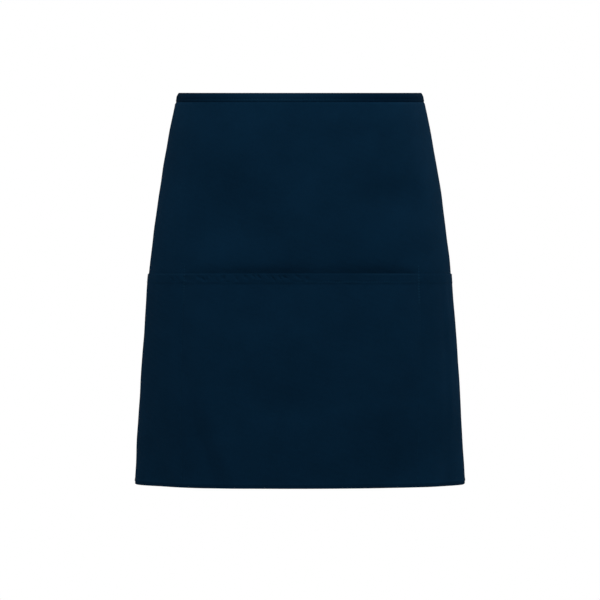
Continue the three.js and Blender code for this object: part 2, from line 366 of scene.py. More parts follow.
TOP_LEVEL = BAND_HEIGHT / 2
PANEL_BOTTOM = APRON_DROP - FOOT - GAP
BAND_TOP = (BAND_FOLD + BAND_LEG) / 2  # the outer radius of the binding's fold
TIE_DROP = BAND_HEIGHT / 2
TIE_OUT = BAND_OUTER - BAND_TOP
KNOT_DROP = TIE_DROP + KNOT_SAG


# The worn shape

DROPS = np.array([row.drop for row in SECTIONS])
SIZES = np.array([row[1:] for row in SECTIONS])
SLOPES = np.gradient(SIZES, DROPS, axis=0)
TURN = np.linspace(0, math.pi, 1801)  # half a turn in tenths of a degree


def section_sizes(drop):
    """Half width, front, back and dip at a drop, on a smooth curve through the table's rows."""
    row = int(np.clip(np.searchsorted(DROPS, drop) - 1, 0, len(DROPS) - 2))
    step = DROPS[row + 1] - DROPS[row]
    t = (drop - DROPS[row]) / step
    start = (1 + 2 * t) * (1 - t) ** 2 * SIZES[row] + t * (1 - t) ** 2 * step * SLOPES[row]
    end = t**2 * (3 - 2 * t) * SIZES[row + 1] - t**2 * (1 - t) * step * SLOPES[row + 1]
    return start + end


def half_section(drop):
    """A level half section from the front round the left to the back: arc length, points and tangents."""
    half_width, front, back, _ = section_sizes(drop)
    forward = np.cos(TURN)
    power = 2 / SQUARENESS
    x = half_width * np.abs(np.sin(TURN)) ** power
    y = np.where(forward > 0, -front, back) * np.abs(forward) ** power
    arc = np.concatenate([[0], np.cumsum(np.hypot(np.diff(x), np.diff(y)))])
    return arc, x, y, np.gradient(x), np.gradient(y)


def half_lengths(drop):
    """How far it is from the middle of the front round to the middle of the back, at each drop."""
    lengths = [half_section(level)[0][-1] for level in drop.ravel()]
    return np.reshape(lengths, drop.shape)


def worn(around, drop, out):
    """Points of the cloth, from distances round the wearer (left is positive), drops and distances out."""
    around, drop, out = np.broadcast_arrays(around, drop, out)
    points = np.empty(around.shape + (3,))
    for level in np.unique(drop):
        here = drop == level
        arc, x, y, tangent_x, tangent_y = half_section(level)
        _, front, _, dip = section_sizes(level)
        distance = np.abs(around[here])
        way_x = np.interp(distance, arc, tangent_x)
        way_y = np.interp(distance, arc, tangent_y)
        size = np.hypot(way_x, way_y)
        at_x = np.interp(distance, arc, x) + way_y / size * out[here]
        at_y = np.interp(distance, arc, y)
        level_z = TOP_LEVEL - level + dip * np.minimum(at_y, 0) / front
        side = np.where(around[here] < 0, -1, 1)
        points[here] = np.stack([side * at_x, at_y - way_x / size * out[here], level_z], axis=-1)
    return points


def behind(across, drop, out):
    """Points of what lies behind the wearer, from distances across the middle of the back."""
    across, drop, out = np.broadcast_arrays(across, drop, out)
    around = half_lengths(drop) - np.abs(across)
    return worn(np.where(across < 0, -around, around), drop, out)


# Relief

def bell(distance, reach):
    """1 in the middle, fading smoothly over the reach."""
    return np.exp(-((distance / reach) ** 2))


def faded(distance, reach):
    """1 on a line, dying away on both sides of it."""
    return np.exp(-np.abs(distance) / reach)


def ramp(value, start, end):
    """A smooth rise from 0 to 1."""
    t = np.clip((value - start) / (end - start), 0, 1)
    return t * t * (3 - 2 * t)


def stretch(value, start, full, fading, end):
    """1 along a stretch, with smooth ends."""
    return ramp(value, start, full) * (1 - ramp(value, fading, end))


def fold_height(around, drop):
    total = 0
    for fold in FOLDS:
        slant = math.radians(fold.slant)
        beside = around - fold.around
        below = drop - fold.drop
        along = below * math.cos(slant) + beside * math.sin(slant)
        across = beside * math.cos(slant) - below * math.sin(slant)
        total = total + fold.height * bell(along, fold.length) * bell(across, fold.width)
    return total


def wave_height(waves, around, drop):
    rng = np.random.default_rng(waves.seed)
    total = 0
    for _ in range(WAVE_COUNT):
        heading = rng.uniform(0, math.pi)
        length = waves.length * rng.uniform(*WAVE_LENGTHS)
        phase = rng.uniform(0, 2 * math.pi)
        run = around * math.cos(heading) + drop * math.sin(heading)
        total = total + np.sin(2 * math.pi * run / length + phase)
    return waves.height * (total / math.sqrt(WAVE_COUNT))


def pucker_height(puckers, along, across):
    rng = np.random.default_rng(puckers.seed)
    total = 0
    for _ in range(PUCKER_COUNT):
        length = puckers.spacing * rng.uniform(*PUCKER_SPACINGS)
        phase = rng.uniform(0, 2 * math.pi)
        lean = puckers.lean * rng.uniform(*PUCKER_LEANS)
        total = total + np.sin(2 * math.pi * (along + lean * across) / length + phase)
    return puckers.height * (total / math.sqrt(PUCKER_COUNT) * faded(across, puckers.reach))


def make_crimps():
    rng = np.random.default_rng(CRIMP_SEED)
    crimps = []
    around = CRIMPS_START
    while around < CRIMPS_END:
        below = MOUTH_HEM * rng.uniform(*CRIMP_PLACES)
        lean = rng.uniform(*CRIMP_LEANS)
        width = rng.uniform(*CRIMP_WIDTHS)
        length = rng.uniform(*CRIMP_LENGTHS)
        depth = rng.uniform(*CRIMP_DEPTHS)
        crimps.append(Crimp(around, below, lean, width, length, depth))
        around += rng.uniform(*CRIMP_SPACINGS)
    return crimps


CRIMPS = make_crimps()


def crimp_depth(around, below):
    total = 0
    for crimp in CRIMPS:
        along = below - crimp.below
        across = around - crimp.around - crimp.lean * along
        total = total + crimp.depth * bell(across, crimp.width) * bell(along, crimp.length)
    return total


def mouth_share(around):
    """How far the mouth opens: 1 in the middle, 0 from the seams outwards."""
    return np.maximum(0, 1 - np.abs((around - OFF_CENTRE) / POCKET_SEAM) ** GAPE_FULLNESS)


def open_share(around, closed):
    """1 in the middle of the mouth, falling to the share that is left where it lies closed."""
    return closed + (1 - closed) * np.sqrt(mouth_share(around))


def soft_relief(around, drop):
    """The folds, waves, rolled hem and side puckers that the panel and its pocket share."""
    waves = sum(wave_height(row, around, drop) for row in CLOTH_WAVES)
    swell = HEM_SWELL * bell(drop - PANEL_BOTTOM + HEM_ROLLED, HEM_ROLLED)
    roll = HEM_ROLL * np.clip((drop - PANEL_BOTTOM) / HEM_ROLLED + 1, 0, 1) ** 2
    puckers = pucker_height(SIDE_PUCKERS, drop, np.abs(around) - SIDE_EDGE + SIDE_HEM)
    return fold_height(around, drop) + waves + swell - roll + puckers


def band_middle(drop):
    """How far the middle of the folded binding stands out: its top leans in."""
    return TIE_OUT - BAND_LEAN * np.clip(1 - drop / BAND_TURN, 0, 1) ** 2


def band_face(drop):
    """From the middle of the binding to its outer face, which is pulled in along the stitches."""
    puff = BAND_PUFF * np.sin(math.pi * np.clip((drop - BAND_TOP) / (BAND_STITCHES - BAND_TOP), 0, 1))
    return BAND_TOP + puff - BAND_GROOVE * bell(drop - BAND_STITCHES, BAND_GROOVE_WIDTH)


def band_roll(drop):
    """How far the binding's outer face curls in at its lower edge."""
    return BAND_ROLL * np.clip((drop - BAND_EDGE) / BAND_ROLLED + 1, 0, 1) ** 2


def band_out(around, drop):
    """How far the binding's outer face stands out from the worn shape."""
    puckers = pucker_height(BAND_PUCKERS, around, drop - BAND_STITCHES)
    return band_middle(drop) + band_face(drop) - band_roll(drop) + puckers


def band_inside(around, drop):
    return band_middle(drop) - band_face(drop) + 0 * around


def panel_out(around, drop):
    """How far the panel's outer face stands out from the worn shape."""
    free = ramp(drop, BAND_EDGE, BAND_EDGE + PANEL_FREE)
    sink = sum(hollow.depth * bell(around - hollow.around, hollow.reach) for hollow in MOUTH_HOLLOWS)
    dent = sink * bell(drop - POCKET_MOUTH - DENT_FALL, DENT_SPREAD) * open_share(around, 0)
    gathers = pucker_height(BAND_GATHERS, around, drop - BAND_HEIGHT)
    relief = soft_relief(around, drop) - dent + gathers
    return free * relief + (1 - free) * (band_middle(drop) + CLOTH / 2)


def panel_inside(around, drop):
    return panel_out(around, drop) - CLOTH


def hem_inside(around, drop):
    return panel_out(around, drop) - 2 * CLOTH


def hem_rise(around, drop):
    """How much thicker the hem at the pocket's mouth is."""
    end = POCKET_MOUTH + MOUTH_HEM
    return HEM_RISE * open_share(around, SIDE_RISE) * (1 - ramp(drop, end - HEM_STEP, end + HEM_STEP))


def mouth_relief(around, below):
    """What the stitches along the pocket's mouth do to its hem: a curl, an uneven groove and crimps."""
    curl = HEM_CURL * np.clip(1 - below / MOUTH_HEM, 0, 1) * open_share(around, SIDE_CURL)
    pull = np.clip(GROOVE_MEAN + wave_height(GROOVE_WAVES, around, 0 * around), 0, GROOVE_MOST)
    groove = MOUTH_GROOVE * bell(below - MOUTH_STITCHES, MOUTH_GROOVE_WIDTH)
    crimps = crimp_depth(around, below) * open_share(around, SIDE_CRIMPS)
    puckers = pucker_height(MOUTH_PUCKERS, around, below - MOUTH_PUCKERS_DROP)
    return curl - pull * open_share(around, SIDE_GROOVE) * groove - crimps + puckers


def pocket_out(around, drop):
    """How far the pocket's outer face stands out from the worn shape."""
    below = drop - POCKET_MOUTH
    gap = GAP * open_share(around, SIDE_GAP)
    gape = MOUTH_GAPE * mouth_share(around) * (1 - ramp(below, GAPE_START, GAPE_DEPTH))
    hem = hem_rise(around, drop) + mouth_relief(around, below)
    beside = np.abs(around - OFF_CENTRE) - POCKET_SEAM
    seam = pucker_height(SEAM_PUCKERS, drop, beside) - SEAM_TUCK * bell(beside, SEAM_TUCK_WIDTH)
    return soft_relief(around, drop) + gap + CLOTH + gape + hem + seam


# Meshes

Run = namedtuple("Run", "end step")


def levels(start, end, step):
    return np.linspace(start, end, max(2, round((end - start) / step) + 1))


def rising(start, *runs):
    """Rising levels from a start through several runs, each with its own step."""
    starts = [start] + [run.end for run in runs]
    parts = [levels(begin, run.end, run.step) for begin, run in zip(starts, runs)]
    return np.unique(np.round(np.concatenate(parts), 6))


def columns(count):
    return np.linspace(-SIDE_EDGE, SIDE_EDGE, count + 1)[:, None]


def mesh_object(name, points, faces, material, flat=None, wear_and_painted_light=None):
    """A smooth mesh, with its flat cloth coordinates as UVs and how much paler each point is, for worn
    edges and painted light.
    """
    mesh = bpy.data.meshes.new(name)
    mesh.from_pydata(points, [], faces)
    if flat is not None:
        corners = np.empty(len(mesh.loops), np.int32)
        mesh.loops.foreach_get("vertex_index", corners)
        layer = mesh.uv_layers.new(name="cloth")
        layer.uv.foreach_set("vector", flat[corners].astype(np.float32).ravel())
    if wear_and_painted_light is not None:
        mesh.attributes.new("wear_and_painted_light", "FLOAT", "POINT").data.foreach_set("value", wear_and_painted_light.astype(np.float32))
    shell = bmesh.new()
    shell.from_mesh(mesh)
    bmesh.ops.recalc_face_normals(shell, faces=shell.faces)
    shell.to_mesh(mesh)
    shell.free()
    mesh.shade_smooth()
    mesh.set_sharp_from_angle(angle=math.radians(SHARP_ANGLE))
    mesh.materials.append(material)
    piece = bpy.data.objects.new(name, mesh)
    bpy.context.scene.collection.objects.link(piece)
    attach(piece, "root")
    return piece


def ring_faces(stations, size, start=0):
    """Faces of a closed solid through rings of corners, whose ends are closed across from side to side."""
    first = start + np.arange(stations - 1)[:, None] * size
    corner = first + np.arange(size)
    beside = first + (np.arange(size) + 1) % size
    sides = np.stack([corner, beside, beside + size, corner + size], axis=-1)
    faces = sides.reshape(-1, 4).tolist()
    last = start + (stations - 1) * size
    for i in range(size // 2 - 1):
        cap = [i, i + 1, size - 2 - i, size - 1 - i]
        faces.append([start + j for j in reversed(cap)])
        faces.append([last + j for j in cap])
    return faces


def swept(name, rings, material, flat, wear_and_painted_light=None):
    """A closed solid through rings of points, [station, corner, xyz]."""
    faces = ring_faces(*rings.shape[:2])
    wear_and_painted_light = None if wear_and_painted_light is None else wear_and_painted_light.ravel()
    return mesh_object(name, rings.reshape(-1, 3), faces, material, flat.reshape(-1, 2), wear_and_painted_light)


def flat_places(first, second):
    return np.stack(np.broadcast_arrays(first, second), axis=-1)


def side_wear(around):
    return SIDE_RUB * faded(SIDE_EDGE - np.abs(around), SIDE_RUB_REACH)


def panel_piece(material):
    """The panel, with a hem folded in along each side."""
    rows = rising(
        PANEL_TOP,
        Run(end=TOP_ROWS, step=0.0009),
        Run(end=POCKET_MOUTH - MOUTH_ROWS, step=0.0036),
        Run(end=POCKET_MOUTH + MOUTH_ROWS, step=0.0016),
        Run(end=PANEL_BOTTOM - HEM_ROWS, step=0.006),
        Run(end=PANEL_BOTTOM, step=HEM_ROW),
    )
    around = columns(PANEL_COLUMNS)
    outer = panel_out(around, rows)
    hem_edge = SIDE_EDGE - SIDE_HEM
    hem = ramp(np.abs(around), hem_edge - HEM_SLOPE, hem_edge + HEM_SLOPE)
    inner = outer - CLOTH - CLOTH * hem * ramp(rows, BAND_HEIGHT, BAND_HEIGHT + HEM_FULL)
    out = np.concatenate([outer, inner[:, ::-1]], axis=1)
    drop = np.concatenate([rows, rows[::-1]])
    wear_and_painted_light = np.broadcast_to(side_wear(around), out.shape)
    points = worn(around, drop, out)
    piece = swept("skirt_panel_cloth", points, material, flat_places(around, drop), wear_and_painted_light)
    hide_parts("skirt_panel")
    return piece


def pocket_section(around, rows):
    """Outs and drops from the mouth's fold down the outside, round the foot and up the inside."""
    outer = pocket_out(around, rows)
    inner = outer - CLOTH - hem_rise(around, rows)
    edge_turn = np.radians(EDGE_TURNS)
    edge_middle = (outer[:, :1] + inner[:, :1]) / 2
    edge_half = (outer[:, :1] - inner[:, :1]) / 2
    edge_out = edge_middle + edge_half * np.cos(edge_turn)
    edge_back = edge_middle - edge_half * np.cos(edge_turn[::-1])
    edge_drop = rows[0] - MOUTH_EDGE * np.sin(edge_turn)
    radius = (GAP + 2 * CLOTH) / 2
    foot_turn = np.linspace(0, math.pi, FOOT_STEPS)
    foot_start = outer[:, -1:]
    foot_out = foot_start - radius + radius * np.cos(foot_turn)
    foot_drop = APRON_DROP - radius + radius * np.sin(foot_turn)
    foot_top = [APRON_DROP - FOOT] * 2
    foot_ends = [foot_start - 2 * radius, foot_start - CLOTH]
    outs = [edge_out, outer, foot_out, *foot_ends, inner[:, ::-1], edge_back]
    drops = [edge_drop, rows, foot_drop, foot_top, rows[::-1], edge_drop[::-1]]
    return np.concatenate(outs, axis=1), np.concatenate(drops)


def pocket_piece(material):
    """The pocket's wall, with a folded edge at its mouth and a foot turned under the panel."""
    rows = rising(
        POCKET_MOUTH + MOUTH_EDGE,
        Run(end=POCKET_MOUTH + MOUTH_HEM + CURL_ROWS, step=0.0006),
        Run(end=POCKET_MOUTH + GAPE_ROWS, step=0.002),
        Run(end=PANEL_BOTTOM - HEM_ROWS, step=0.0042),
        Run(end=PANEL_BOTTOM, step=HEM_ROW),
    )
    around = rising(
        -SIDE_EDGE,
        Run(end=CRIMPS_START - CRIMP_MARGIN, step=POCKET_COLUMN),
        Run(end=CRIMPS_END + CRIMP_MARGIN, step=CRIMP_COLUMN),
        Run(end=SIDE_EDGE, step=POCKET_COLUMN),
    )[:, None]
    out, drop = pocket_section(around, rows)
    # A painted highlight along the mouth's fold, and worn side edges.
    paled = MOUTH_HIGHLIGHT * sum(stretch(around, *places) for places in MOUTH_HIGHLIGHT_STRETCHES)
    wear_and_painted_light = np.maximum(paled * faded(drop - POCKET_MOUTH, FOLD_PALING_REACH), side_wear(around))
    points = worn(around, drop, out)
    piece = swept("pocket_cloth", points, material, flat_places(around, drop), wear_and_painted_light)
    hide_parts("pocket_panel")
    return piece


def band_sides(around, turn):
    """The folded binding's slot and outside, each from its front edge up, over and down its back."""
    down = np.linspace(BAND_TOP, BAND_EDGE, BAND_STEPS)
    up = down[::-1]
    outs = []
    drops = []
    for inset in (BAND_LEG, 0):
        front = band_out(around, up) - inset + band_roll(up) * inset / BAND_LEG
        over = band_middle(BAND_TOP) + (BAND_TOP - inset) * np.cos(turn) + 0 * around
        back = band_inside(around, down) + inset
        outs.append(np.concatenate([front, over, back], axis=1))
        drops.append(np.concatenate([up, BAND_TOP - (BAND_TOP - inset) * np.sin(turn), down]))
    return outs, drops


def band_painted_light(around):
    """How far the middle of the binding is painted paler, as painted light that leaves its ends darker."""
    return BAND_PAINTED_LIGHT * bell(around - BAND_PAINTED_LIGHT_MIDDLE, BAND_PAINTED_LIGHT_REACH)


def band_piece(material):
    """A binding folded over the panel's top edge."""
    around = columns(BAND_COLUMNS)
    turn = np.linspace(0, math.pi, FOLD_STEPS)[1:-1]
    outs, drops = band_sides(around, turn)
    out = np.concatenate([outs[0], outs[1][:, ::-1]], axis=1)
    drop = np.concatenate([drops[0], drops[1][::-1]])
    steps = np.hypot(np.diff(out[0], prepend=out[0, 0]), np.diff(drop, prepend=drop[0]))
    flat = flat_places(around, np.cumsum(steps))
    # Painted light on the middle of the binding, and its top fold worn paler.
    wear_and_painted_light = np.maximum(band_painted_light(around), BAND_TOP_RUB * faded(drop, FOLD_PALING_REACH))
    piece = swept("waistband_cloth", worn(around, drop, out), material, flat, wear_and_painted_light)
    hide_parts("waistband")


# Stitches

def stitch_mesh(points, normals, wear_and_painted_light):
    """Vertices, faces and wear of raised thread loops along a line of points."""
    arc = np.concatenate([[0], np.cumsum(np.linalg.norm(np.diff(points, axis=0), axis=1))])
    starts = np.arange(0, arc[-1] - STITCH_PITCH * STITCH_SHARE, STITCH_PITCH)
    shares, lifts, widths = np.array(STITCH_RINGS).T
    at = starts[:, None] + shares[None, :] * STITCH_PITCH * STITCH_SHARE
    place = np.stack([np.interp(at, arc, points[:, i]) for i in range(3)], axis=-1)
    normal = np.stack([np.interp(at, arc, normals[:, i]) for i in range(3)], axis=-1)
    normal /= np.linalg.norm(normal, axis=-1, keepdims=True)
    beside = np.cross(np.gradient(place, axis=1), normal)
    beside /= np.linalg.norm(beside, axis=-1, keepdims=True)
    turn = np.arange(THREAD_SIDES) * 2 * math.pi / THREAD_SIDES
    ring = normal[:, :, None] * np.cos(turn)[:, None] + beside[:, :, None] * np.sin(turn)[:, None]
    centre = place + normal * (lifts * THREAD_RADIUS)[None, :, None]
    vertices = centre[:, :, None] + ring * (widths * THREAD_RADIUS)[None, :, None, None]
    index = np.arange(at.size * THREAD_SIDES).reshape(*at.shape, THREAD_SIDES)
    following = np.roll(index, -1, axis=2)
    quads = np.stack([index[:, :-1], index[:, 1:], following[:, 1:], following[:, :-1]], axis=-1)
    faces = quads.reshape(-1, 4).tolist() + index[:, 0].tolist() + index[:, -1, ::-1].tolist()
    paled = np.repeat(np.interp(at, arc, wear_and_painted_light), THREAD_SIDES)
    return vertices.reshape(-1, 3), faces, paled


def surface_line(around, drop, out_of, wear_and_painted_light, inside):
    """Points, normals and paling for worn places and painted light along a line on a piece of cloth, on
    its outer side or its inner one.
    """
    step = LINE_STEP / 2
    points = worn(around, drop, out_of(around, drop))
    aside = worn(around + step, drop, out_of(around + step, drop)) - points
    below = worn(around, drop + step, out_of(around, drop + step)) - points
    normals = np.cross(below, aside)
    normals /= np.linalg.norm(normals, axis=-1, keepdims=True)
    return points, (-normals if inside else normals), np.broadcast_to(wear_and_painted_light, around.shape)


def unrubbed(around):
    return 0 * around


def level_line(drop, out_of, paling_of=unrubbed, inside=False):
    """A line from one side hem to the other."""
    end = SIDE_EDGE - ROW_INSET
    around = levels(-end, end, LINE_STEP)
    return surface_line(around, np.full(len(around), drop), out_of, paling_of(around), inside)


def upright_line(around, start, end, out_of, paling=0, inside=False):
    drop = levels(start, end, LINE_STEP)
    return surface_line(np.full(len(drop), around), drop, out_of, paling, inside)


def stitch_piece(name, lines, material):
    """One piece of thread from several lines."""
    vertices = []
    faces = []
    wear_and_painted_light = []
    start = 0
    for line in lines:
        made, made_faces, paled = stitch_mesh(*line)
        vertices.append(made)
        wear_and_painted_light.append(paled)
        faces += [[i + start for i in face] for face in made_faces]
        start += len(made)
    mesh_object(name, np.concatenate(vertices), faces, material, wear_and_painted_light=np.concatenate(wear_and_painted_light))


def band_stitches(material):
    # The front row takes the painted light on the middle of the binding.
    front = level_line(BAND_STITCHES, band_out, band_painted_light)
    back = level_line(BAND_STITCHES, band_inside, inside=True)
    stitch_piece("waistband_stitches", [front, back], material)


def mouth_stitch_rub(around):
    """How far the stitches along the pocket's mouth are worn pale, most in its left half."""
    return MOUTH_STITCH_RUB + MOUTH_STITCH_RUB_MORE * stretch(around, *MOUTH_STITCH_STRETCH)


def mouth_stitches(material):
    line = level_line(POCKET_MOUTH + MOUTH_STITCHES, pocket_out, mouth_stitch_rub)
    stitch_piece("pocket_mouth_stitches", [line], material)


def seam_stitches(material):
    """The pocket's two seams, each with a second row beside its top, and their backs."""
    seam_top = POCKET_MOUTH - SEAM_START
    panel_end = POCKET_MOUTH - ROW_ABOVE_MOUTH
    pocket_top = POCKET_MOUTH + ROW_GAP
    tack_end = POCKET_MOUTH + TACK_LENGTH
    lower_top = tack_end + ROW_GAP
    lower_end = APRON_DROP - 2 * ROW_END
    lines = []
    for side, paling in ((-1, RIGHT_SEAM_RUB), (1, LEFT_SEAM_RUB)):
        seam = OFF_CENTRE + side * POCKET_SEAM
        tack = seam - side * TACK_ASIDE
        lines.append(upright_line(seam, seam_top, panel_end, panel_out, paling))
        lines.append(upright_line(seam, pocket_top, tack_end, pocket_out, paling))
        lines.append(upright_line(tack, pocket_top, tack_end, pocket_out, paling))
        lines.append(upright_line(seam, lower_top, lower_end, pocket_out, LOWER_SEAM_RUB))
        lines.append(upright_line(seam, seam_top, PANEL_BOTTOM - ROW_END, panel_inside, inside=True))
    stitch_piece("pocket_seam_stitches", lines, material)


def hem_stitches(material):
    """The side hems' rows, in front and inside."""
    panel_end = POCKET_MOUTH - ROW_ABOVE_MOUTH
    pocket_top = POCKET_MOUTH + ROW_GAP
    inside_top = BAND_HEIGHT + HEM_FULL
    lines = []
    for side in (-1, 1):
        hem = side * (SIDE_EDGE - SIDE_HEM + ROW_INSET)
        lines.append(upright_line(hem, BAND_HEIGHT + ROW_INSET, panel_end, panel_out))
        lines.append(upright_line(hem, pocket_top, APRON_DROP - ROW_END, pocket_out))
        lines.append(upright_line(hem, inside_top, PANEL_BOTTOM - ROW_END, hem_inside, inside=True))
    stitch_piece("side_hem_stitches", lines, material)


# Ties and knot

def flat_outline(height, thickness):
    """Corners (out, drop) of a flat strip with round edges."""
    turn = np.linspace(0, math.pi, ROUND_EDGE_STEPS)
    radius = thickness / 2
    straight = height / 2 - radius
    out = np.concatenate([radius * np.cos(turn), -radius * np.cos(turn)])
    drop = np.concatenate([straight + radius * np.sin(turn), -straight - radius * np.sin(turn)])
    return out, drop


def tie_piece(side, material):
    """A folded strip from the end of the waistband round to the knot, which pinches it."""
    start = SIDE_EDGE + GAP / 2
    rings = []
    flats = []
    for share in np.linspace(0, 1, TIE_STEPS):
        pinch = ramp(share, PINCH_START, 1)
        fuller = TIE_FULLER * (1 - ramp(share, 0, TIE_EVEN))
        height = TIE_HEIGHT * (1 - PINCH_NARROWS * pinch)
        out, drop = flat_outline(height, TIE_THICKNESS * (1 + fuller + PINCH_THICKENS * pinch))
        crease = PINCH_CREASE * pinch * np.cos(4 * math.pi * drop / height) * np.sign(out)
        drop = drop + TIE_DROP + KNOT_SAG * share**2
        end = half_lengths(drop) - KNOT_WIDTH / 2 + TIE_TUCK
        around = side * (start + (end - start) * share)
        rings.append(worn(around, drop, out + TIE_OUT + crease))
        flats.append(flat_places(around, drop))
    name = "tie_left" if side > 0 else "tie_right"
    piece = swept(name + "_cloth", np.array(rings), material, np.array(flats))
    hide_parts(name)


def ribbon(path, across, height, thickness):
    """Rings of a flat strip along a path, with the direction across it at each point."""
    way = np.gradient(path, axis=0)
    way /= np.linalg.norm(way, axis=1, keepdims=True)
    facing = np.cross(across, way)
    facing /= np.linalg.norm(facing, axis=1, keepdims=True)
    spread = np.cross(way, facing)
    out, rise = flat_outline(height, thickness)
    return path[:, None] + facing[:, None] * out[None, :, None] + spread[:, None] * rise[None, :, None]


def knot_wrap(middle):
    """One tie's turn round the other."""
    turn = np.linspace(WRAP_SHORT, 2 * math.pi - WRAP_SHORT, WRAP_STEPS)
    lie = turn + WRAP_LEAD
    loop = [WRAP_SHIFT * np.cos(turn), WRAP_DEPTH * np.cos(lie), WRAP_RISE * np.sin(lie)]
    path = np.stack(loop, axis=-1)
    across = np.tile([1.0, 0, 0], (len(turn), 1))
    return ribbon(middle + path, across, WRAP_WIDTH, WRAP_THICKNESS)


def knot_core(middle):
    """The ties' meeting ends inside the wrap."""
    run = np.linspace(-1, 1, CORE_STEPS)
    bulge = CORE_BULGE * np.cos(CORE_BEND * run)
    path = np.stack([KNOT_WIDTH / 2 * run, bulge, CORE_RISE * run], axis=-1)
    across = np.tile([0, 0, -1.0], (len(run), 1))
    return ribbon(middle + path, across, CORE_HEIGHT, CORE_THICKNESS)


def knot_tail(side):
    """One free end, which lies down the back with a slight twist."""
    down = np.linspace(0, 1, TAIL_STEPS)
    drop = KNOT_DROP + TAIL_BELOW + (TAIL_LENGTH - TAIL_BELOW) * down
    across = side * (TAIL_START * np.sqrt(down) + TAIL_SPREAD * (drop - KNOT_DROP))
    across = across + TAIL_SWAY * np.sin(TAIL_SWAY_BEND * down + side)
    wave = TAIL_WAVE * np.sin(TAIL_WAVE_BEND * down + TAIL_WAVE_START * side)
    out = TIE_OUT + TAIL_OUT + TAIL_OVER * side + wave
    twist = TAIL_TWIST * side * np.sin(TAIL_TWIST_BEND * down)
    spread = np.stack([np.cos(twist), np.sin(twist), 0 * twist], axis=-1)
    return ribbon(behind(across, drop, out), spread, TIE_HEIGHT, TAIL_THINNER * TIE_THICKNESS)


def knot_piece(material):
    middle = behind(0.0, KNOT_DROP, TIE_OUT)
    vertices = []
    faces = []
    flats = []
    for rings in (knot_wrap(middle), knot_core(middle), knot_tail(-1), knot_tail(1)):
        stations, size, _ = rings.shape
        faces += ring_faces(stations, size, sum(len(block) for block in vertices))
        steps = np.linalg.norm(np.diff(rings.mean(axis=1), axis=0), axis=1)
        run = np.concatenate([[0], np.cumsum(steps)])[:, None]
        flats.append(flat_places(run, np.linspace(0, 2 * TIE_HEIGHT, size)).reshape(-1, 2))
        vertices.append(rings.reshape(-1, 3))
    points = np.concatenate(vertices)
    piece = mesh_object("tie_knot_cloth", points, faces, material, np.concatenate(flats))
    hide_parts("tie_knot")


# Materials

def opaque(colour, share=1):
    """A colour, darker or paler by a share, as a shader takes it."""
    return tuple(share * value for value in colour) + (1,)


class Graph:
    """The nodes of one material, made one call at a time."""

    def __init__(self, name):
        self.material = bpy.data.materials.new(name)
        self.material.use_nodes = True
        self.tree = self.material.node_tree
        self.shader = self.tree.nodes["Principled BSDF"]

    def put(self, value, socket):
        if isinstance(value, bpy.types.NodeSocket):
            self.tree.links.new(value, socket)
        else:
            socket.default_value = value

    def add(self, kind, inputs, output=0, **settings):
        node = self.tree.nodes.new(kind)
        for key, value in settings.items():
            setattr(node, key, value)
        for key, value in inputs.items():
            self.put(value, node.inputs[key])
        return node.outputs[output]

    def maths(self, operation, *values):
        return self.add("ShaderNodeMath", dict(enumerate(values)), operation=operation)

    def plus(self, base, share, value):
        """A base and a share of another value."""
        return self.maths("MULTIPLY_ADD", value, share, base)

    def wave(self, value, length):
        return self.maths("SINE", self.maths("MULTIPLY", value, 2 * math.pi / length))

    def noise(self, place, scale, detail=2.0, roughness=0.5):
        inputs = {"Vector": place, "Scale": scale, "Detail": detail, "Roughness": roughness}
        return self.add("ShaderNodeTexNoise", inputs)

    def wear_and_painted_light(self):
        return self.add("ShaderNodeAttribute", {}, output="Fac", attribute_name="wear_and_painted_light")

    def mixed(self, share, first, second):
        """A colour between two others."""
        node = self.tree.nodes.new("ShaderNodeMix")
        node.data_type = "RGBA"
        sockets = {socket.identifier: socket for socket in node.inputs}
        self.put(share, sockets["Factor_Float"])
        self.put(first, sockets["A_Color"])
        self.put(second, sockets["B_Color"])
        return next(socket for socket in node.outputs if socket.identifier == "Result_Color")

    def toned(self, share, colour, tones):
        """A colour that varies from its darkest tone to its palest."""
        return self.mixed(share, *[opaque(colour, tone) for tone in tones])

    def finish(self, **inputs):
        """Set the shader's inputs, named with _ for spaces, and return the material."""
        for key, value in inputs.items():
            self.put(value, self.shader.inputs[key.replace("_", " ")])
        return self.material


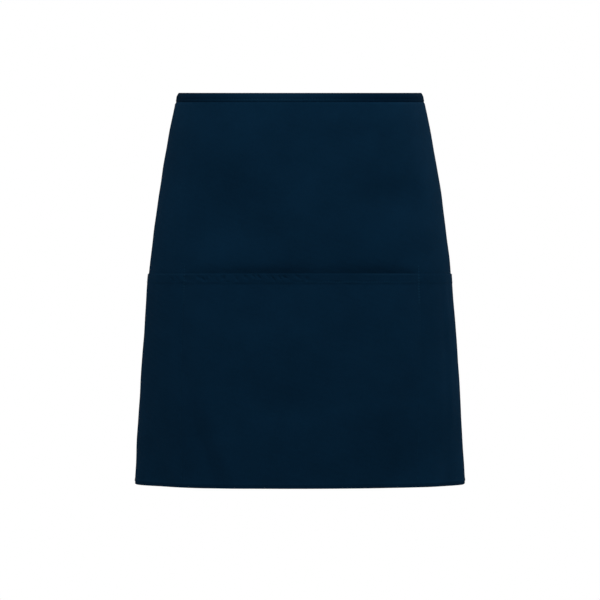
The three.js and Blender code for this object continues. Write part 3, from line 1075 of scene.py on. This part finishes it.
def twill_material(name, colour, paled):
    """Twill: slanting ribs of crossed threads, slubs, a soft sheen, and paler places, from worn edges and
    from painted light.
    """
    graph = Graph(name)
    flat = graph.add("ShaderNodeUVMap", {}, uv_map="cloth")
    split = graph.add("ShaderNodeSeparateXYZ", {"Vector": flat}).node
    weft = split.outputs["X"]
    warp = split.outputs["Y"]
    ribs = graph.wave(graph.plus(weft, RIB_SLANT, warp), RIB_LENGTH)
    threads = graph.maths("MULTIPLY", graph.wave(weft, WEFT_LENGTH), graph.wave(warp, WARP_LENGTH))
    slubs = graph.noise(flat, SLUB_SCALE)
    blotches = graph.noise(flat, BLOTCH_SCALE, detail=4.0, roughness=0.65)
    height = graph.plus(graph.plus(ribs, SLUB_HEIGHT, slubs), THREAD_HEIGHT, threads)
    tone = graph.plus(graph.plus(blotches, SLUB_TONE, slubs), RIB_TONE, ribs)
    tone_range = {"Value": tone, "From Min": TONE_START, "From Max": TONE_END}
    cloth = graph.toned(graph.add("ShaderNodeMapRange", tone_range), colour, CLOTH_TONES)
    paling = graph.maths("MULTIPLY", graph.wear_and_painted_light(), graph.plus(PALING_LEAST, SLUB_PALING, slubs))
    return graph.finish(
        Base_Color=graph.mixed(paling, cloth, opaque(paled)),
        Roughness=graph.plus(CLOTH_ROUGHNESS, SLUB_ROUGHNESS, slubs),
        Normal=graph.add("ShaderNodeBump", {"Height": height, "Strength": 0.35, "Distance": WEAVE_DEPTH}),
        Specular_IOR_Level=DULL,
        Sheen_Weight=0.004,
        Sheen_Roughness=0.45,
        Sheen_Tint=opaque(SHEEN_TINT),
    )


def thread_material(name, colour, paled):
    """Spun thread with a slight lustre, paler where it is worn and where it takes painted light."""
    graph = Graph(name)
    place = graph.add("ShaderNodeTexCoord", {}, output="Object")
    fibres = graph.noise(place, FIBRE_SCALE)
    spun = graph.toned(fibres, colour, THREAD_TONES)
    return graph.finish(
        Base_Color=graph.mixed(graph.wear_and_painted_light(), spun, opaque(paled)),
        Roughness=graph.plus(THREAD_ROUGHNESS, FIBRE_ROUGHNESS, fibres),
        Specular_IOR_Level=DULL,
    )


def floor_material():
    graph = Graph("pale_floor")
    place = graph.add("ShaderNodeTexCoord", {}, output="Object")
    pale = graph.toned(graph.noise(place, FLOOR_GRAIN), WHITE, FLOOR_TONES)
    return graph.finish(Base_Color=pale, Roughness=0.9, Specular_IOR_Level=0.1)


# Stage, light and camera

def make_floor():
    turn = np.linspace(0, 2 * math.pi, FLOOR_SIDES, endpoint=False)
    level = np.full(FLOOR_SIDES, TOP_LEVEL - APRON_DROP - FLOOR_BELOW)
    points = np.stack([FLOOR_RADIUS * np.cos(turn), FLOOR_RADIUS * np.sin(turn), level], axis=-1)
    mesh = bpy.data.meshes.new("floor")
    mesh.from_pydata(points.tolist(), [], [list(range(FLOOR_SIDES))])
    mesh.materials.append(floor_material())
    floor = bpy.data.objects.new("floor", mesh)
    bpy.context.scene.collection.objects.link(floor)


def make_light(light):
    """A soft square light aimed at the apron."""
    data = bpy.data.lights.new(light.name, "AREA")
    data.size = LIGHT_SPREAD * light.distance
    data.energy = light.energy
    lamp = bpy.data.objects.new(light.name, data)
    side = math.radians(light.azimuth)
    rise = math.radians(light.elevation)
    way = np.array([math.sin(side) * math.cos(rise), -math.cos(side) * math.cos(rise), math.sin(rise)])
    lamp.location = AIM + light.distance * way
    lamp.rotation_euler = (math.pi / 2 - rise, 0, side)
    bpy.context.scene.collection.objects.link(lamp)


def make_world():
    """White where the camera sees it, and a dimmer soft light on the apron."""
    world = bpy.data.worlds.new("studio")
    world.use_nodes = True
    tree = world.node_tree
    soft = tree.nodes["Background"]
    soft.inputs["Color"].default_value = opaque(WHITE)
    soft.inputs["Strength"].default_value = SOFT_LIGHT
    seen = tree.nodes.new("ShaderNodeBackground")
    seen.inputs["Color"].default_value = opaque(WHITE)
    path = tree.nodes.new("ShaderNodeLightPath")
    mix = tree.nodes.new("ShaderNodeMixShader")
    tree.links.new(path.outputs["Is Camera Ray"], mix.inputs["Fac"])
    tree.links.new(soft.outputs[0], mix.inputs[1])
    tree.links.new(seen.outputs[0], mix.inputs[2])
    tree.links.new(mix.outputs[0], tree.nodes["World Output"].inputs["Surface"])
    bpy.context.scene.world = world


def make_camera():
    """Level with the middle of the photograph, so far off that the apron fills the same share of it."""
    data = bpy.data.cameras.new("camera")
    data.sensor_width = SENSOR
    data.lens = SENSOR * CAMERA_DISTANCE / (PHOTO_PIXELS * PIXEL_SIZE)
    camera = bpy.data.objects.new("camera", data)
    middle_pixel = (PHOTO_PIXELS - 1) / 2
    camera.location = (0, -CAMERA_DISTANCE, TOP_LEVEL - (middle_pixel - TOP_PIXEL) * PIXEL_SIZE)
    camera.rotation_euler = (math.pi / 2, 0, 0)
    bpy.context.scene.collection.objects.link(camera)
    bpy.context.scene.camera = camera


make_camera()
make_floor()
make_world()
for light in LIGHTS:
    make_light(light)
bpy.context.scene.view_settings.view_transform = "Standard"

twill = twill_material("navy_twill", *TWILL_COLOURS)
binding = twill_material("navy_binding", *BINDING_COLOURS)
thread = thread_material("navy_thread", *THREAD_COLOURS)

panel = panel_piece(twill)
pocket = pocket_piece(twill)
band_piece(binding)
tie_piece(1, binding)
tie_piece(-1, binding)
knot_piece(binding)
band_stitches(thread)
mouth_stitches(thread)
seam_stitches(thread)
hem_stitches(thread)
